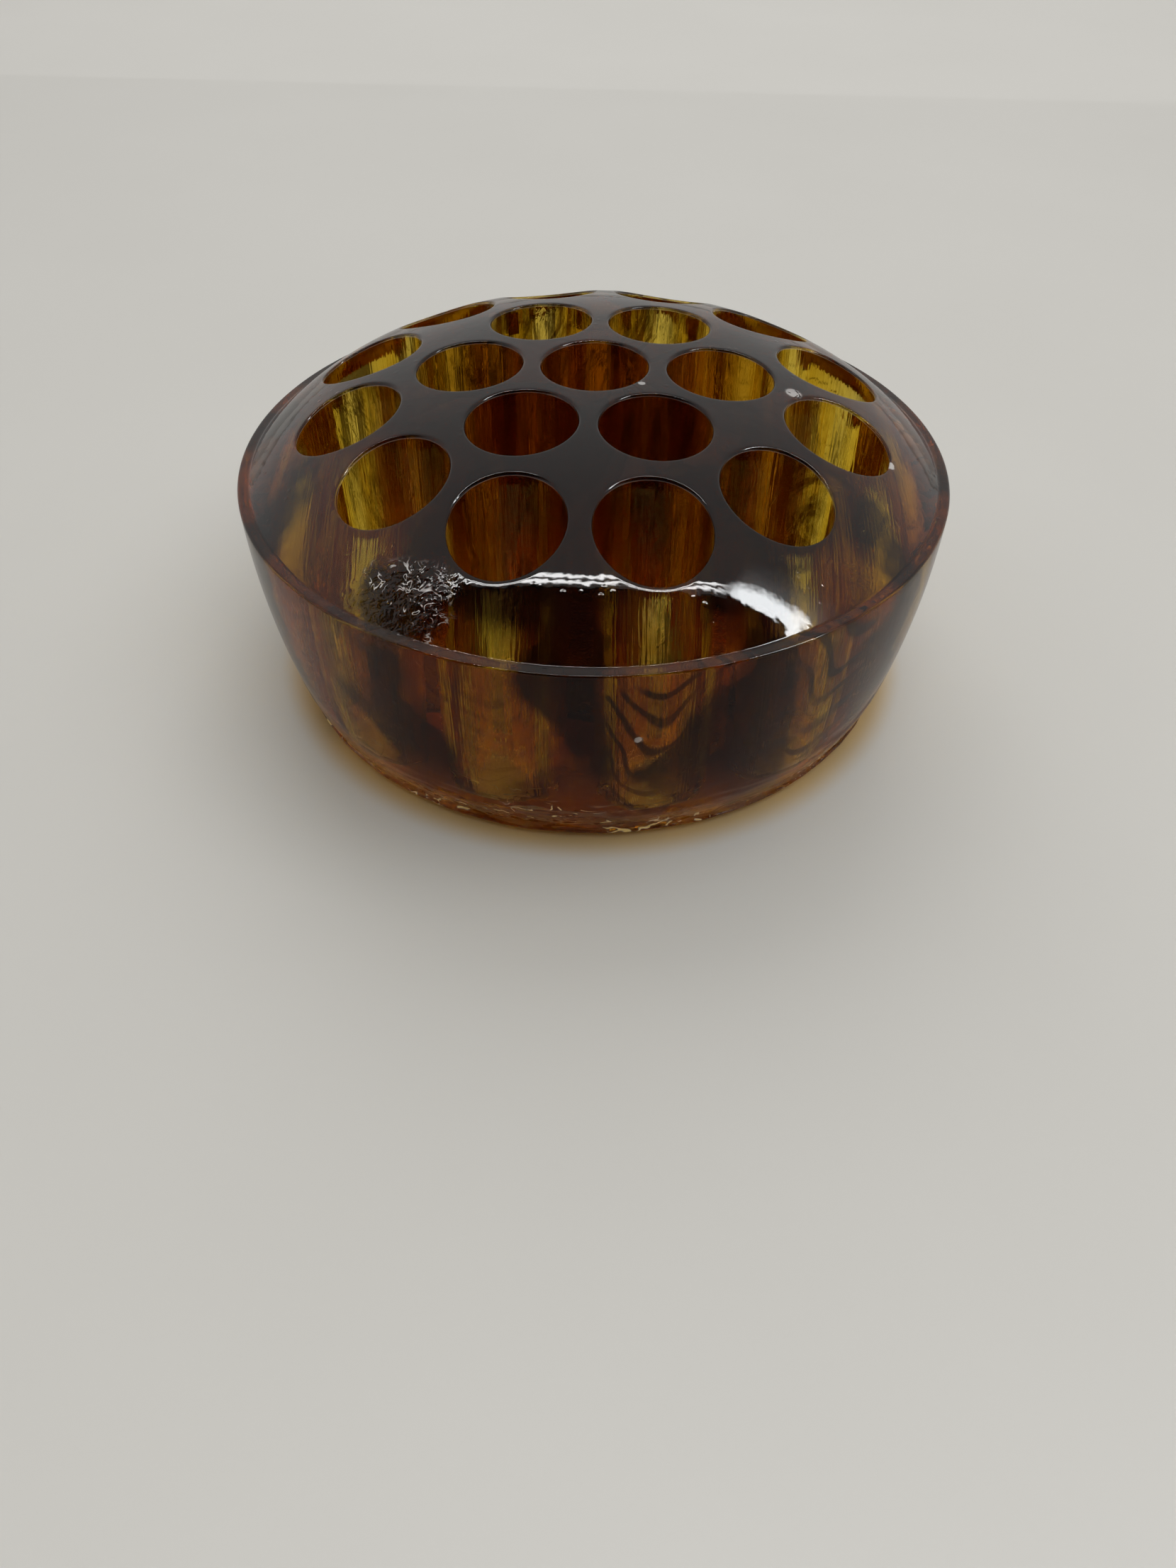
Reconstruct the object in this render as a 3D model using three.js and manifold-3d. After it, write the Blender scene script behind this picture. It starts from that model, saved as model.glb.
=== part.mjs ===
// Flower frog: a one-piece pressed-glass block with a domed crown and nineteen blind sockets
// that hold flower stems upright in a shallow bowl.
//
// Millimetres, +Z up. The origin is the centre of the standing ring's plane, and -Y is the front,
// midway between two sockets of the outer ring.

import * as THREE from "three";
import { mergeVertices } from "three/addons/utils/BufferGeometryUtils.js";
import Module from "manifold-3d";

// Driving dimensions

const MOUTH_DIAMETER = 14.5; // a stem socket where it breaks through the crown
const SOCKET_DRAFT = 0.8; // degrees a side, so that the plunger's pins draw out of the glass
const SOCKET_FLOOR = 3.2; // glass left under each socket, down to the standing plane
const PIN_TIP_RADIUS = 2.0; // the rounding at the bottom corner of each socket
const CENTRE_WEB = 2.6; // least glass between the centre socket and the inner ring
const OUTER_WEB = 3.0; // least glass between neighbours in the outer ring
const RIM_WALL = 9.0; // glass outside the outer ring, measured at the rim

const RIM_HEIGHT = 32.4; // the standing plane to the land at the top of the side
const CROWN_RISE = 13.2; // the land to the top of the crown
const CROWN_ROUNDNESS = 0.28; // how early the crown starts to fall: 1 is a plain parabola
const LAND_WIDTH = 1.6; // the flat ledge between the side and the crown
const RIM_EDGE_RADIUS = 0.4; // the fire-polished outer edge of the land
const SIDE_INSET = 4.7; // how far the side curves in between the rim and the base
const BASE_CORNER_RADIUS = 3.4; // the rounding between the side and the underside
const STANDING_RING_WIDTH = 4.5; // the flat ring that the block stands on
const UNDERSIDE_RECESS = 0.5; // how far the middle of the underside is dished clear

const INNER_SOCKETS = 6;
const OUTER_SOCKETS = 12;

// Facets

const TURNS = 72; // facets round the block
const SOCKET_SIDES = 24; // facets round each socket
const CROWN_STEPS = 12;
const SIDE_STEPS = 8;
const CORNER_STEPS = 4;
const DISH_STEPS = 4;
const OVERSHOOT = 2; // how far a socket's cutter runs on above the crown

// Sizes that follow from the driving dimensions

const mouthRadius = MOUTH_DIAMETER / 2;
const innerRingRadius = (MOUTH_DIAMETER + CENTRE_WEB) / (2 * Math.sin(Math.PI / INNER_SOCKETS));
const outerRingRadius = (MOUTH_DIAMETER + OUTER_WEB) / (2 * Math.sin(Math.PI / OUTER_SOCKETS));
const rimRadius = outerRingRadius + mouthRadius + RIM_WALL;
const crownRadius = rimRadius - LAND_WIDTH;
const overallHeight = RIM_HEIGHT + CROWN_RISE;

// The side is one long arc, upright at the rim and SIDE_INSET further in at the standing plane.
// The base corner is a smaller arc that touches it from inside.
const sideSweep = (RIM_HEIGHT ** 2 + SIDE_INSET ** 2) / (2 * SIDE_INSET);
const sideCentre = rimRadius - sideSweep;
const cornerAngle = -Math.asin(
  (RIM_HEIGHT - BASE_CORNER_RADIUS) / (sideSweep - BASE_CORNER_RADIUS),
);
const cornerCentre = sideCentre + (sideSweep - BASE_CORNER_RADIUS) * Math.cos(cornerAngle);

const glass = new THREE.MeshStandardMaterial({
  color: 0x6b3f14,
  roughness: 0.05,
  metalness: 0,
  transparent: true,
  opacity: 0.7,
});

const wasm = await Module();
wasm.setup();

/** A closed geometry as a solid that booleans can work on. */
function toSolid(geometry) {
  const bare = geometry.clone().deleteAttribute("normal").deleteAttribute("uv");
  const merged = mergeVertices(bare, 1e-4);
  return new wasm.Manifold(
    new wasm.Mesh({
      numProp: 3,
      vertProperties: new Float32Array(merged.attributes.position.array),
      triVerts: new Uint32Array(merged.index.array),
    }),
  );
}

/** The solid's triangles as a geometry with flat normals. */
function toGeometry(solid) {
  const mesh = solid.getMesh();
  const geometry = new THREE.BufferGeometry();
  geometry.setAttribute("position", new THREE.BufferAttribute(mesh.vertProperties, 3));
  geometry.setIndex(new THREE.BufferAttribute(mesh.triVerts, 1));
  geometry.computeVertexNormals();
  return geometry;
}

/** Turns a profile of (radius, height) points about +Z. */
function revolve(profile, segments) {
  return new THREE.LatheGeometry(profile, segments).rotateX(Math.PI / 2);
}

/** Points of an arc about (cx, cy), from one angle to another in radians, both ends included. */
function arc(cx, cy, radius, from, to, steps) {
  return Array.from({ length: steps + 1 }, (_, i) => {
    const angle = from + ((to - from) * i) / steps;
    return new THREE.Vector2(cx + radius * Math.cos(angle), cy + radius * Math.sin(angle));
  });
}

/** The crown's height above the standing plane at a distance from the axis. */
function crownHeight(distance) {
  const u = distance / crownRadius;
  const fall = CROWN_ROUNDNESS * u ** 2 + (1 - CROWN_ROUNDNESS) * u ** 4;
  return overallHeight - CROWN_RISE * fall;
}

/** The underside, from the axis out to the standing ring: a shallow dish, flattest in the middle. */
function undersideProfile() {
  const dishRadius = cornerCentre - STANDING_RING_WIDTH;
  return Array.from({ length: DISH_STEPS + 1 }, (_, i) => {
    const u = i / DISH_STEPS;
    return new THREE.Vector2(dishRadius * u, UNDERSIDE_RECESS * (1 - u ** 2));
  });
}

/** The outside of the block, from the middle of the underside out, up the side and over the crown. */
function blockProfile() {
  const corner = arc(
    cornerCentre, BASE_CORNER_RADIUS, BASE_CORNER_RADIUS,
    -Math.PI / 2, cornerAngle, CORNER_STEPS,
  );
  const edgeHeight = RIM_HEIGHT - RIM_EDGE_RADIUS;
  const sideTop = -Math.asin(RIM_EDGE_RADIUS / sideSweep);
  const side = arc(sideCentre, RIM_HEIGHT, sideSweep, cornerAngle, sideTop, SIDE_STEPS).slice(1, -1);
  const edge = arc(rimRadius - RIM_EDGE_RADIUS, edgeHeight, RIM_EDGE_RADIUS, 0, Math.PI / 2, 2);
  const crown = Array.from({ length: CROWN_STEPS + 1 }, (_, i) => {
    const distance = crownRadius * (1 - i / CROWN_STEPS);
    return new THREE.Vector2(distance, crownHeight(distance));
  });
  return [...undersideProfile(), ...corner, ...side, ...edge, ...crown];
}

/** What one pin of the plunger leaves: a drafted socket with a rounded bottom corner. */
function socketCutter() {
  const draft = Math.tan(THREE.MathUtils.degToRad(SOCKET_DRAFT));
  const top = overallHeight + OVERSHOOT;
  const radiusAt = (height) => mouthRadius - (overallHeight - height) * draft;
  const tipHeight = SOCKET_FLOOR + PIN_TIP_RADIUS;
  const tip = arc(
    radiusAt(tipHeight) - PIN_TIP_RADIUS, tipHeight, PIN_TIP_RADIUS,
    -Math.PI / 2, 0, CORNER_STEPS - 1,
  );
  return toSolid(
    revolve(
      [
        new THREE.Vector2(0, SOCKET_FLOOR),
        ...tip,
        new THREE.Vector2(radiusAt(top), top),
        new THREE.Vector2(0, top),
      ],
      SOCKET_SIDES,
    ),
  );
}

/** Centres of a ring of sockets, with a web rather than a socket on the front centre line. */
function ringCentres(count, radius) {
  return Array.from({ length: count }, (_, i) => {
    const angle = ((i + 0.5) * 2 * Math.PI) / count - Math.PI / 2;
    return [radius * Math.cos(angle), radius * Math.sin(angle)];
  });
}

/** The whole frog: the revolved block less its nineteen sockets. */
function glassBlock() {
  const centres = [
    [0, 0],
    ...ringCentres(INNER_SOCKETS, innerRingRadius),
    ...ringCentres(OUTER_SOCKETS, outerRingRadius),
  ];
  const cutter = socketCutter();
  const sockets = centres.map(([x, y]) => cutter.translate([x, y, 0]));
  const block = toSolid(revolve(blockProfile(), TURNS)).subtract(wasm.Manifold.union(sockets));
  const mesh = new THREE.Mesh(toGeometry(block), glass);
  mesh.name = "glass_block";
  return mesh;
}

const flowerFrog = new THREE.Group();
flowerFrog.name = "flower_frog";
flowerFrog.add(glassBlock());

export default flowerFrog;
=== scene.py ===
"""A pressed-glass flower frog: a domed block of clouded amber glass with nineteen stem sockets.

Sizes are in metres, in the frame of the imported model: +Z up, the origin in the middle of the standing ring.
"""

import math

import bmesh
import bpy
from mathutils import Matrix, Vector
from mathutils.geometry import delaunay_2d_cdt


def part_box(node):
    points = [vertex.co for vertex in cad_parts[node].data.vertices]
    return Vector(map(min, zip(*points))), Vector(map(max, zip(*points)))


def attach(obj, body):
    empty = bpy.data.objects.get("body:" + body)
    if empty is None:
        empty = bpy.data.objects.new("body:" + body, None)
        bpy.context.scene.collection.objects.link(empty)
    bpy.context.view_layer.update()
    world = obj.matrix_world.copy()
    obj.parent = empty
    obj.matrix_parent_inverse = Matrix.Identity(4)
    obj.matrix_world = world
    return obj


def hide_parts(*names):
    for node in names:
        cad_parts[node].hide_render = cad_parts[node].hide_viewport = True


TAU = 2 * math.pi
MM = 0.001

# Sizes of the block, the same as the solid's
MOUTH_DIAMETER = 14.5 * MM
SOCKET_DRAFT = math.radians(0.8)
SOCKET_FLOOR = 3.2 * MM
PIN_TIP_RADIUS = 2.0 * MM
CENTRE_WEB = 2.6 * MM
OUTER_WEB = 3.0 * MM
CROWN_RISE = 13.2 * MM
CROWN_ROUNDNESS = 0.28
LAND_WIDTH = 1.6 * MM
SIDE_INSET = 4.7 * MM
BASE_CORNER_RADIUS = 3.4 * MM
STANDING_RING_WIDTH = 4.5 * MM
UNDERSIDE_RECESS = 0.5 * MM
INNER_SOCKETS = 6
OUTER_SOCKETS = 12

# What fire-polishing leaves
LIP_RADIUS = 0.45 * MM
RIM_EDGE_RADIUS = 0.4 * MM
CREASE_RADIUS = 0.6 * MM
WAVINESS = 0.05 * MM
WAVE_SIZE = 9.0 * MM
WAVE_SEED = 3.0

# The chilled foot, from FOOT_RADIUS out: an uneven edge, flat ripples over it, and a bead at the seam
FOOT_RADIUS = 40 * MM
CHILL_DEPTH = 1.3 * MM
CHILL_SIZE = 6.0 * MM
CHILL_HEIGHT = 6.5 * MM
RIPPLE_DEPTH = 0.16 * MM
RIPPLE_LENGTH = 9.0 * MM
RIPPLE_HEIGHT = 13.0 * MM
RIPPLE_FULL_HEIGHT = 4.0 * MM
RIPPLE_GAIN = 4.0
SEAM_DEPTH = 0.55 * MM
SEAM_HEIGHT = 1.2 * MM
SEAM_WIDTH = 0.65 * MM

# How the skin faces, as its normal's upward part, where the flat sole turns into the corner
SOLE_EDGE = (-0.97, -0.6)

# Gas bubbles near the skin: the two large ones, and how the small ones are scattered
LARGE_BUBBLES = (
    ((4.3 * MM, -46.7 * MM, 12.0 * MM), 0.6 * MM),
    ((35.0 * MM, -24.0 * MM, 35.3 * MM), 0.6 * MM),
)
SMALL_BUBBLES = 46
BUBBLE_SEED = 5
BUBBLE_DEPTHS = (0.7 * MM, 2.6 * MM)
BUBBLE_RADII = (0.08 * MM, 0.26 * MM)
BUBBLE_HEIGHT_SHARES = (0.1, 0.95)

# How fine the mesh is
TURNS = 288
SOCKET_SIDES = 72
FLOOR_STEPS = 3
TIP_STEPS = 7
WALL_STEPS = 16
LIP_STEPS = 6
COLLAR_STEPS = 2
CREASE_STEPS = 5
LAND_STEPS = 4
EDGE_STEPS = 6
SMOOTH_SIDE_STEPS = 14
RIPPLED_SIDE_STEPS = 26
CORNER_STEPS = 26
RING_STEPS = 4
DISH_STEPS = 12
BALL_SUBDIVISIONS = 3

# The crown's plate has points in rows of an even triangular grid, up to a collar round each socket
COLLAR_WIDTH = 1.15 * MM
PLATE_STEP = 1.0 * MM
ROW_RATIO = math.sqrt(0.75)

# Distances too small to matter
MERGE_DISTANCE = 0.002 * MM
RADIUS_TOLERANCE = 1e-6
PLATE_TOLERANCE = 1e-9

# The body of the glass: how it bends light, and the absorption that deepens its colour
GLASS_IOR = 1.43
DEPTH_COLOUR = (0.89, 0.785, 0.12, 1)
DEPTH_DENSITY = 200.0

# The surface of the glass
CLEAR = (1.0, 0.98, 0.88, 1)
HEART = (0.40, 0.14, 0.035, 1)
INNER_STAIN = (0.075, 0.019, 0.008, 1)
OUTER_STAIN = (0.10, 0.065, 0.02, 1)
DARK_GLASS = (0.010, 0.006, 0.007, 1)
FOOT_GLASS = (0.30, 0.23, 0.085, 1)
# Painted glints: white for the wrinkles' worms, the lips and the chips, golden for the foot's folds
GLINT_WHITE = (0.85, 0.84, 0.82, 1)
GOLDEN_FOLD_GLINT = (0.95, 0.70, 0.22, 1)
SKIN_ROUGHNESS = 0.03
WALL_ROUGHNESS = 0.05
RELIEF_DEPTH = 0.3 * MM

# Heights that the looks of the glass change between
FOLD_GLINTS_START = (0.8 * MM, 1.6 * MM)
FOLD_GLINTS_END = (3.5 * MM, 6.5 * MM)
CHILL_FADE = (1.5 * MM, 9.0 * MM)
FOOT_TINT = (5.0 * MM, 16.0 * MM)
VEIL_FOOT = (10.0 * MM, 24.0 * MM)
STAIN_START = (14.0 * MM, 27.0 * MM)
VEIN_TOP = (30.0 * MM, 31.8 * MM)
LAND_TOP = (32.5 * MM, 33.0 * MM)
CROWN_START = (36.0 * MM, 41.0 * MM)

# Distances in plan that they change between: from the axis, from the heart, and from left to right
OUTER_WALLS = (34.0 * MM, 38.0 * MM)
HEART_CENTRE = (0.0, -8.0 * MM, 0.0)
HEART_EDGE = (20.0 * MM, 34.0 * MM)
VEIN_START = (-8.0 * MM, 3.0 * MM)

# Which of the noise's patterns the dark glass follows, at the column left of the front and elsewhere
CLOUD_SEEDS = (4.32, 4.17)
LEFT_COLUMN = -9.0 * MM
LEFT_BLEND = (6.0 * MM, 18.0 * MM)

# The span within which swirls shift the clouds, veins and streaks
SWIRL_REACH = 30.0 * MM

# Veins that hang in loops from the rim: how close they lie, how deep they hang and how far they wander
LOOPS_PER_METRE = 210.0
LOOP_SAG = 1.3
LOOP_WANDER = 5.0
THREADS_PER_LOOP = 1.7

# Factors that lay a pattern flat, squash it to level folds, or draw it out along the sockets
IN_PLAN = (1, 1, 0)
CHILL_SQUASH = (1, 1, 2.2)
RIPPLE_SQUASH = (1, 1, 6.0)
FOLD_SQUASH = (1, 1, 2.0)
STREAK_STRETCH = (1, 1, 0.06)
GROOVE_STRETCH = (1, 1, 0.04)

# A wrinkled patch on the front of the crown, and the pattern that breaks up the painted glints on its worms
# and on the foot's folds
WRINKLE_PLACE = (-21 * MM, -41 * MM, 34.7 * MM)
WRINKLE_SPREAD = (9 * MM, 7 * MM, 6 * MM)
BREAK_SEED = 2.0

# Dark seeds in the skin of the side, one over the other, and the half-sizes of one
SEEDS = tuple((17.6 * MM, -46.2 * MM, z * MM) for z in (22.3, 21.0, 19.7))
SEED_SIZE = (0.55 * MM, 0.55 * MM, 0.32 * MM)

# Chips on two lips and specks in the skin, each with its size; they are painted pale as the glints they catch
CHIPS = (
    ((26.9 * MM, -2.4 * MM, 43.5 * MM), 1.1 * MM),
    ((39.8 * MM, -10.5 * MM, 38.0 * MM), 0.8 * MM),
    ((8.1 * MM, -48.9 * MM, 21.9 * MM), 0.5 * MM),
    ((6.5 * MM, -4.9 * MM, 45.5 * MM), 0.5 * MM),
)

# The photograph's view, from a fit of the rim, the mouths and the side's outline
IMAGE_HEIGHT = 2212
FOCAL_PIXELS = 1670
SENSOR_LONG_SIDE = 36.0
CAMERA_DISTANCE = 194.2 * MM
CAMERA_ELEVATION = math.radians(37.80)
CAMERA_PITCH = math.radians(45.13)
CAMERA_YAW = math.radians(-0.144)
CAMERA_ROLL = math.radians(0.539)
BLOCK_TURN = math.radians(-2.75)

# The room's level, and the lower one from the front for light that is neither mirrored nor seen through
ROOM_COLOUR = (1.0, 0.98, 0.95, 1)
ROOM_LEVEL = 0.6
FRONT_LEVEL = 0.2
FRONT_EDGE = (-0.35, 0.05)

# The floor's half-width, its paint, and the amber light that the glass throws round its foot, painted into
# the floor's colour
FLOOR_REACH = 3.0
PAINT_TONES = ((0.60, 0.59, 0.555, 1), (0.64, 0.63, 0.595, 1))
PAINTED_THROWN_LIGHT = (0.54, 0.40, 0.20, 1)
PAINTED_THROWN_LIGHT_EDGE = (45.5 * MM, 50.0 * MM)

# Lamps and cards
SOFTBOX_SIZE = 1.0
SOFTBOX_AIM = (0, 0, 0.03)
BLACK = (0.02, 0.02, 0.02)
WHITE = (1, 1, 1)
DAYLIGHT = (0.95, 0.98, 1)
BRIGHT = 26.0
TUBE_SPACING = 0.036
FOOT_CARD_EDGE = (47.0 * MM, 50.0 * MM)

# Levels of a ramp that lets something in or out
RISING = (0.0, 1.0)
FALLING = (1.0, 0.0)


# Meshes

def arc(centre, radius, start, end, steps):
    """Points (r, z) of an arc, from one angle to another in degrees, both ends included."""
    angles = [math.radians(start + (end - start) * i / steps) for i in range(steps + 1)]
    return [(centre[0] + radius * math.cos(a), centre[1] + radius * math.sin(a)) for a in angles]


def line(start, end, steps):
    """Points of a straight run, without its first."""
    return [tuple(a + (b - a) * i / steps for a, b in zip(start, end)) for i in range(1, steps + 1)]


def circle(centre, radius, sides):
    """Points round a circle in plan."""
    angles = [TAU * i / sides for i in range(sides)]
    return [Vector((centre[0] + radius * math.cos(a), centre[1] + radius * math.sin(a))) for a in angles]


def measure_block(low, high):
    """The block's sizes, from its box and the sizes above. The box ends at the middle socket's mouth."""
    rim = (high.x - low.x) / 2
    u = MOUTH_DIAMETER / 2 / (rim - LAND_WIDTH)
    mouth_fall = CROWN_RISE * (CROWN_ROUNDNESS * u**2 + (1 - CROWN_ROUNDNESS) * u**4)
    height = high.z - low.z + mouth_fall
    rim_height = height - CROWN_RISE
    sweep = (rim_height**2 + SIDE_INSET**2) / (2 * SIDE_INSET)
    reach = sweep - BASE_CORNER_RADIUS
    corner_angle = -math.asin((rim_height - BASE_CORNER_RADIUS) / reach)
    return {
        "rim": rim,
        "height": height,
        "rim_height": rim_height,
        "crown_radius": rim - LAND_WIDTH,
        "inner_ring": (MOUTH_DIAMETER + CENTRE_WEB) / (2 * math.sin(math.pi / INNER_SOCKETS)),
        "outer_ring": (MOUTH_DIAMETER + OUTER_WEB) / (2 * math.sin(math.pi / OUTER_SOCKETS)),
        "side_sweep": sweep,
        "side_centre": rim - sweep,
        "corner_angle": math.degrees(corner_angle),
        "corner_centre": rim - sweep + reach * math.cos(corner_angle),
    }


def ring_centres(count, radius):
    """Socket centres round a ring, with a web on the front centre line."""
    angles = [(i + 0.5) * TAU / count - math.pi / 2 for i in range(count)]
    return [(radius * math.cos(a), radius * math.sin(a)) for a in angles]


def placed(name, data):
    """An object with this data, in the scene."""
    thing = bpy.data.objects.new(name, data)
    bpy.context.scene.collection.objects.link(thing)
    return thing


def mesh_object(name, vertices, faces, lifts, walls):
    """An object from plain lists.

    A point's lift says how much of the crown's fall it follows. Its socket_wall is 1 where the glass
    looks as it does on the sockets' walls, and 0 where it has the clouded skin.
    """
    mesh = bpy.data.meshes.new(name)
    mesh.from_pydata(vertices, [], faces)
    mesh.attributes.new("lift", "FLOAT", "POINT").data.foreach_set("value", lifts)
    mesh.attributes.new("socket_wall", "FLOAT", "POINT").data.foreach_set("value", walls)
    return placed(name, mesh)


def strip(first, second, sides):
    """Quads between two rings of points, given the index that each ring starts at."""
    return [
        (first + i, second + i, second + (i + 1) % sides, first + (i + 1) % sides)
        for i in range(sides)
    ]


def socket_form(block):
    """One socket with its rounded lip and a collar of crown, as if the crown were flat at its top."""
    top = block["height"]
    taper = math.tan(SOCKET_DRAFT)
    tip_height = SOCKET_FLOOR + PIN_TIP_RADIUS
    mouth = MOUTH_DIAMETER / 2
    tip_radius = mouth - (top - tip_height) * taper
    wall_top = (mouth, top - LIP_RADIUS)
    tip = arc((tip_radius - PIN_TIP_RADIUS, tip_height), PIN_TIP_RADIUS, -90, 0, TIP_STEPS)
    floor = line((0, SOCKET_FLOOR), tip[0], FLOOR_STEPS)
    wall = line(tip[-1], wall_top, WALL_STEPS)
    lip = arc((mouth + LIP_RADIUS, top - LIP_RADIUS), LIP_RADIUS, 180, 90, LIP_STEPS)[1:]
    collar = line(lip[-1], (mouth + COLLAR_WIDTH, top), COLLAR_STEPS)
    profile = floor + tip[1:] + wall + lip + collar
    span = wall_top[1] - tip_height
    points = [(0, 0, SOCKET_FLOOR)]
    lifts = [0.0]
    walls = [1.0]
    for radius, height in profile:
        points += [(p.x, p.y, height) for p in circle((0, 0), radius, SOCKET_SIDES)]
        lifts += [min(max((height - tip_height) / span, 0), 1)] * SOCKET_SIDES
        walls += [float(radius <= mouth + RADIUS_TOLERANCE)] * SOCKET_SIDES
    faces = [(0, 1 + i, 1 + (i + 1) % SOCKET_SIDES) for i in range(SOCKET_SIDES)]
    for ring in range(len(profile) - 1):
        start = 1 + ring * SOCKET_SIDES
        faces += strip(start, start + SOCKET_SIDES, SOCKET_SIDES)
    return mesh_object("socket_form", points, faces, lifts, walls)


def crown_plate(block, edge_radius):
    """The crown between the socket collars, in plan: its points and triangles, the outer circle first."""
    centres = [(0, 0)]
    centres += ring_centres(INNER_SOCKETS, block["inner_ring"])
    centres += ring_centres(OUTER_SOCKETS, block["outer_ring"])
    collar = MOUTH_DIAMETER / 2 + COLLAR_WIDTH
    loops = [circle((0, 0), edge_radius, TURNS)]
    loops += [circle(centre, collar, SOCKET_SIDES) for centre in centres]
    points, edges = [], []
    for loop in loops:
        start = len(points)
        edges += [(start + i, start + (i + 1) % len(loop)) for i in range(len(loop))]
        points += loop
    rows = int(edge_radius / (PLATE_STEP * ROW_RATIO)) + 1
    for row in range(-rows, rows + 1):
        y = row * PLATE_STEP * ROW_RATIO
        for column in range(-rows, rows + 1):
            x = (column + 0.5 * (row % 2)) * PLATE_STEP
            inside = math.hypot(x, y) < edge_radius - PLATE_STEP / 2
            if inside and all(math.dist((x, y), c) > collar + PLATE_STEP / 2 for c in centres):
                points.append(Vector((x, y)))
    flat, _, triangles, *_ = delaunay_2d_cdt(points, edges, [], 0, PLATE_TOLERANCE)
    inner_collar = collar * math.cos(math.pi / SOCKET_SIDES)
    kept = []
    for triangle in triangles:
        middle = sum((flat[i] for i in triangle), Vector((0, 0))) / 3
        if all((middle - Vector(c)).length > inner_collar for c in centres):
            kept.append(tuple(triangle))
    return flat, kept


def outside_profile(block):
    """The outside, from the crown's foot down the side and in to the standing ring, and then the dish."""
    foot = block["crown_radius"]
    land = block["rim_height"]
    slope = math.atan(CROWN_RISE * (4 - 2 * CROWN_ROUNDNESS) / foot)
    crease = arc(
        (foot + CREASE_RADIUS * math.tan(slope / 2), land + CREASE_RADIUS), CREASE_RADIUS,
        -90 - math.degrees(slope), -90, CREASE_STEPS,
    )
    edge_centre = (block["rim"] - RIM_EDGE_RADIUS, land - RIM_EDGE_RADIUS)
    edge = arc(edge_centre, RIM_EDGE_RADIUS, 90, 0, EDGE_STEPS)
    sweep = block["side_sweep"]
    centre = (block["side_centre"], land)
    side_top = -math.degrees(math.asin(RIM_EDGE_RADIUS / sweep))
    ripple_top = -math.degrees(math.asin((land - RIPPLE_HEIGHT) / sweep))
    side = arc(centre, sweep, side_top, ripple_top, SMOOTH_SIDE_STEPS)
    side += arc(centre, sweep, ripple_top, block["corner_angle"], RIPPLED_SIDE_STEPS)[1:]
    corner = arc(
        (block["corner_centre"], BASE_CORNER_RADIUS), BASE_CORNER_RADIUS,
        block["corner_angle"], -90, CORNER_STEPS,
    )
    corner = [(r + SEAM_DEPTH * math.exp(-(((z - SEAM_HEIGHT) / SEAM_WIDTH) ** 2)), z) for r, z in corner]
    ring = line(corner[-1], (block["corner_centre"] - STANDING_RING_WIDTH, 0), RING_STEPS)
    dish_radius = ring[-1][0]
    shares = [1 - i / DISH_STEPS for i in range(1, DISH_STEPS)]
    dish = [(dish_radius * share, UNDERSIDE_RECESS * (1 - share**2)) for share in shares]
    outside = crease + line(crease[-1], edge[0], LAND_STEPS)[:-1] + edge + side[1:] + corner[1:] + ring
    return outside, dish


def block_shell(block):
    """The crown's plate and the whole outside, open where the sockets' collars join it."""
    outside, dish = outside_profile(block)
    profile = outside + dish
    flat, triangles = crown_plate(block, profile[0][0])
    points = [(p.x, p.y, block["height"]) for p in flat]
    lifts = [1.0] * len(points)
    faces = list(triangles)
    ring_start = 0
    for radius, height in profile[1:]:
        start = len(points)
        points += [(p.x, p.y, height) for p in circle((0, 0), radius, TURNS)]
        lifts += [0.0] * TURNS
        faces += strip(ring_start, start, TURNS)
        ring_start = start
    points.append((0, 0, UNDERSIDE_RECESS))
    lifts.append(0.0)
    last = len(points) - 1
    faces += [(ring_start + i, last, ring_start + (i + 1) % TURNS) for i in range(TURNS)]
    # The dish has the look of the walls, so no clouds lie between the sockets and the light under the block
    dish_points = len(dish) * TURNS + 1
    walls = [0.0] * (len(points) - dish_points) + [1.0] * dish_points
    return mesh_object("block_shell", points, faces, lifts, walls)


# Node trees

class Tree:
    """Adds nodes to a tree, left to right, each joined to what it takes."""

    def __init__(self, tree):
        self.tree = tree
        self.column = 0

    def add(self, kind, *values, out=0, **settings):
        """A node's output. Values go to its inputs in order; a dictionary gives them by name or number."""
        node = self.tree.nodes.new(kind)
        self.column += 1
        node.location = (200 * self.column, 0)
        for name, value in settings.items():
            setattr(node, name, value)
        for key, value in enumerate(values):
            if isinstance(value, dict):
                for name, item in value.items():
                    self.put(node, name, item)
            elif value is not None:
                self.put(node, key, value)
        return node.outputs[out]

    def put(self, node, key, value):
        socket = node.inputs[key]
        if isinstance(value, bpy.types.NodeSocket):
            self.tree.links.new(value, socket)
        else:
            socket.default_value = value

    def maths(self, operation, a, b=None, c=None):
        return self.add("ShaderNodeMath", a, b, c, operation=operation)

    def times(self, value, *others):
        """The product of some values."""
        for other in others:
            value = self.maths("MULTIPLY", value, other)
        return value

    def most(self, value, *others):
        """The greatest of some values."""
        for other in others:
            value = self.maths("MAXIMUM", value, other)
        return value

    def vectors(self, operation, a, b=None, out=0):
        return self.add("ShaderNodeVectorMath", a, b, out=out, operation=operation)


def length(t, vector):
    return t.vectors("LENGTH", vector, out=1)


def stretched(t, where, factors):
    """A place with its coordinates multiplied by factors."""
    return t.vectors("MULTIPLY", where, factors)


def spot_distance(t, where, centre, sizes):
    """How far off the centre of a spot a place is, in the spot's own half-sizes."""
    return length(t, t.vectors("DIVIDE", t.vectors("SUBTRACT", where, centre), sizes))


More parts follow.
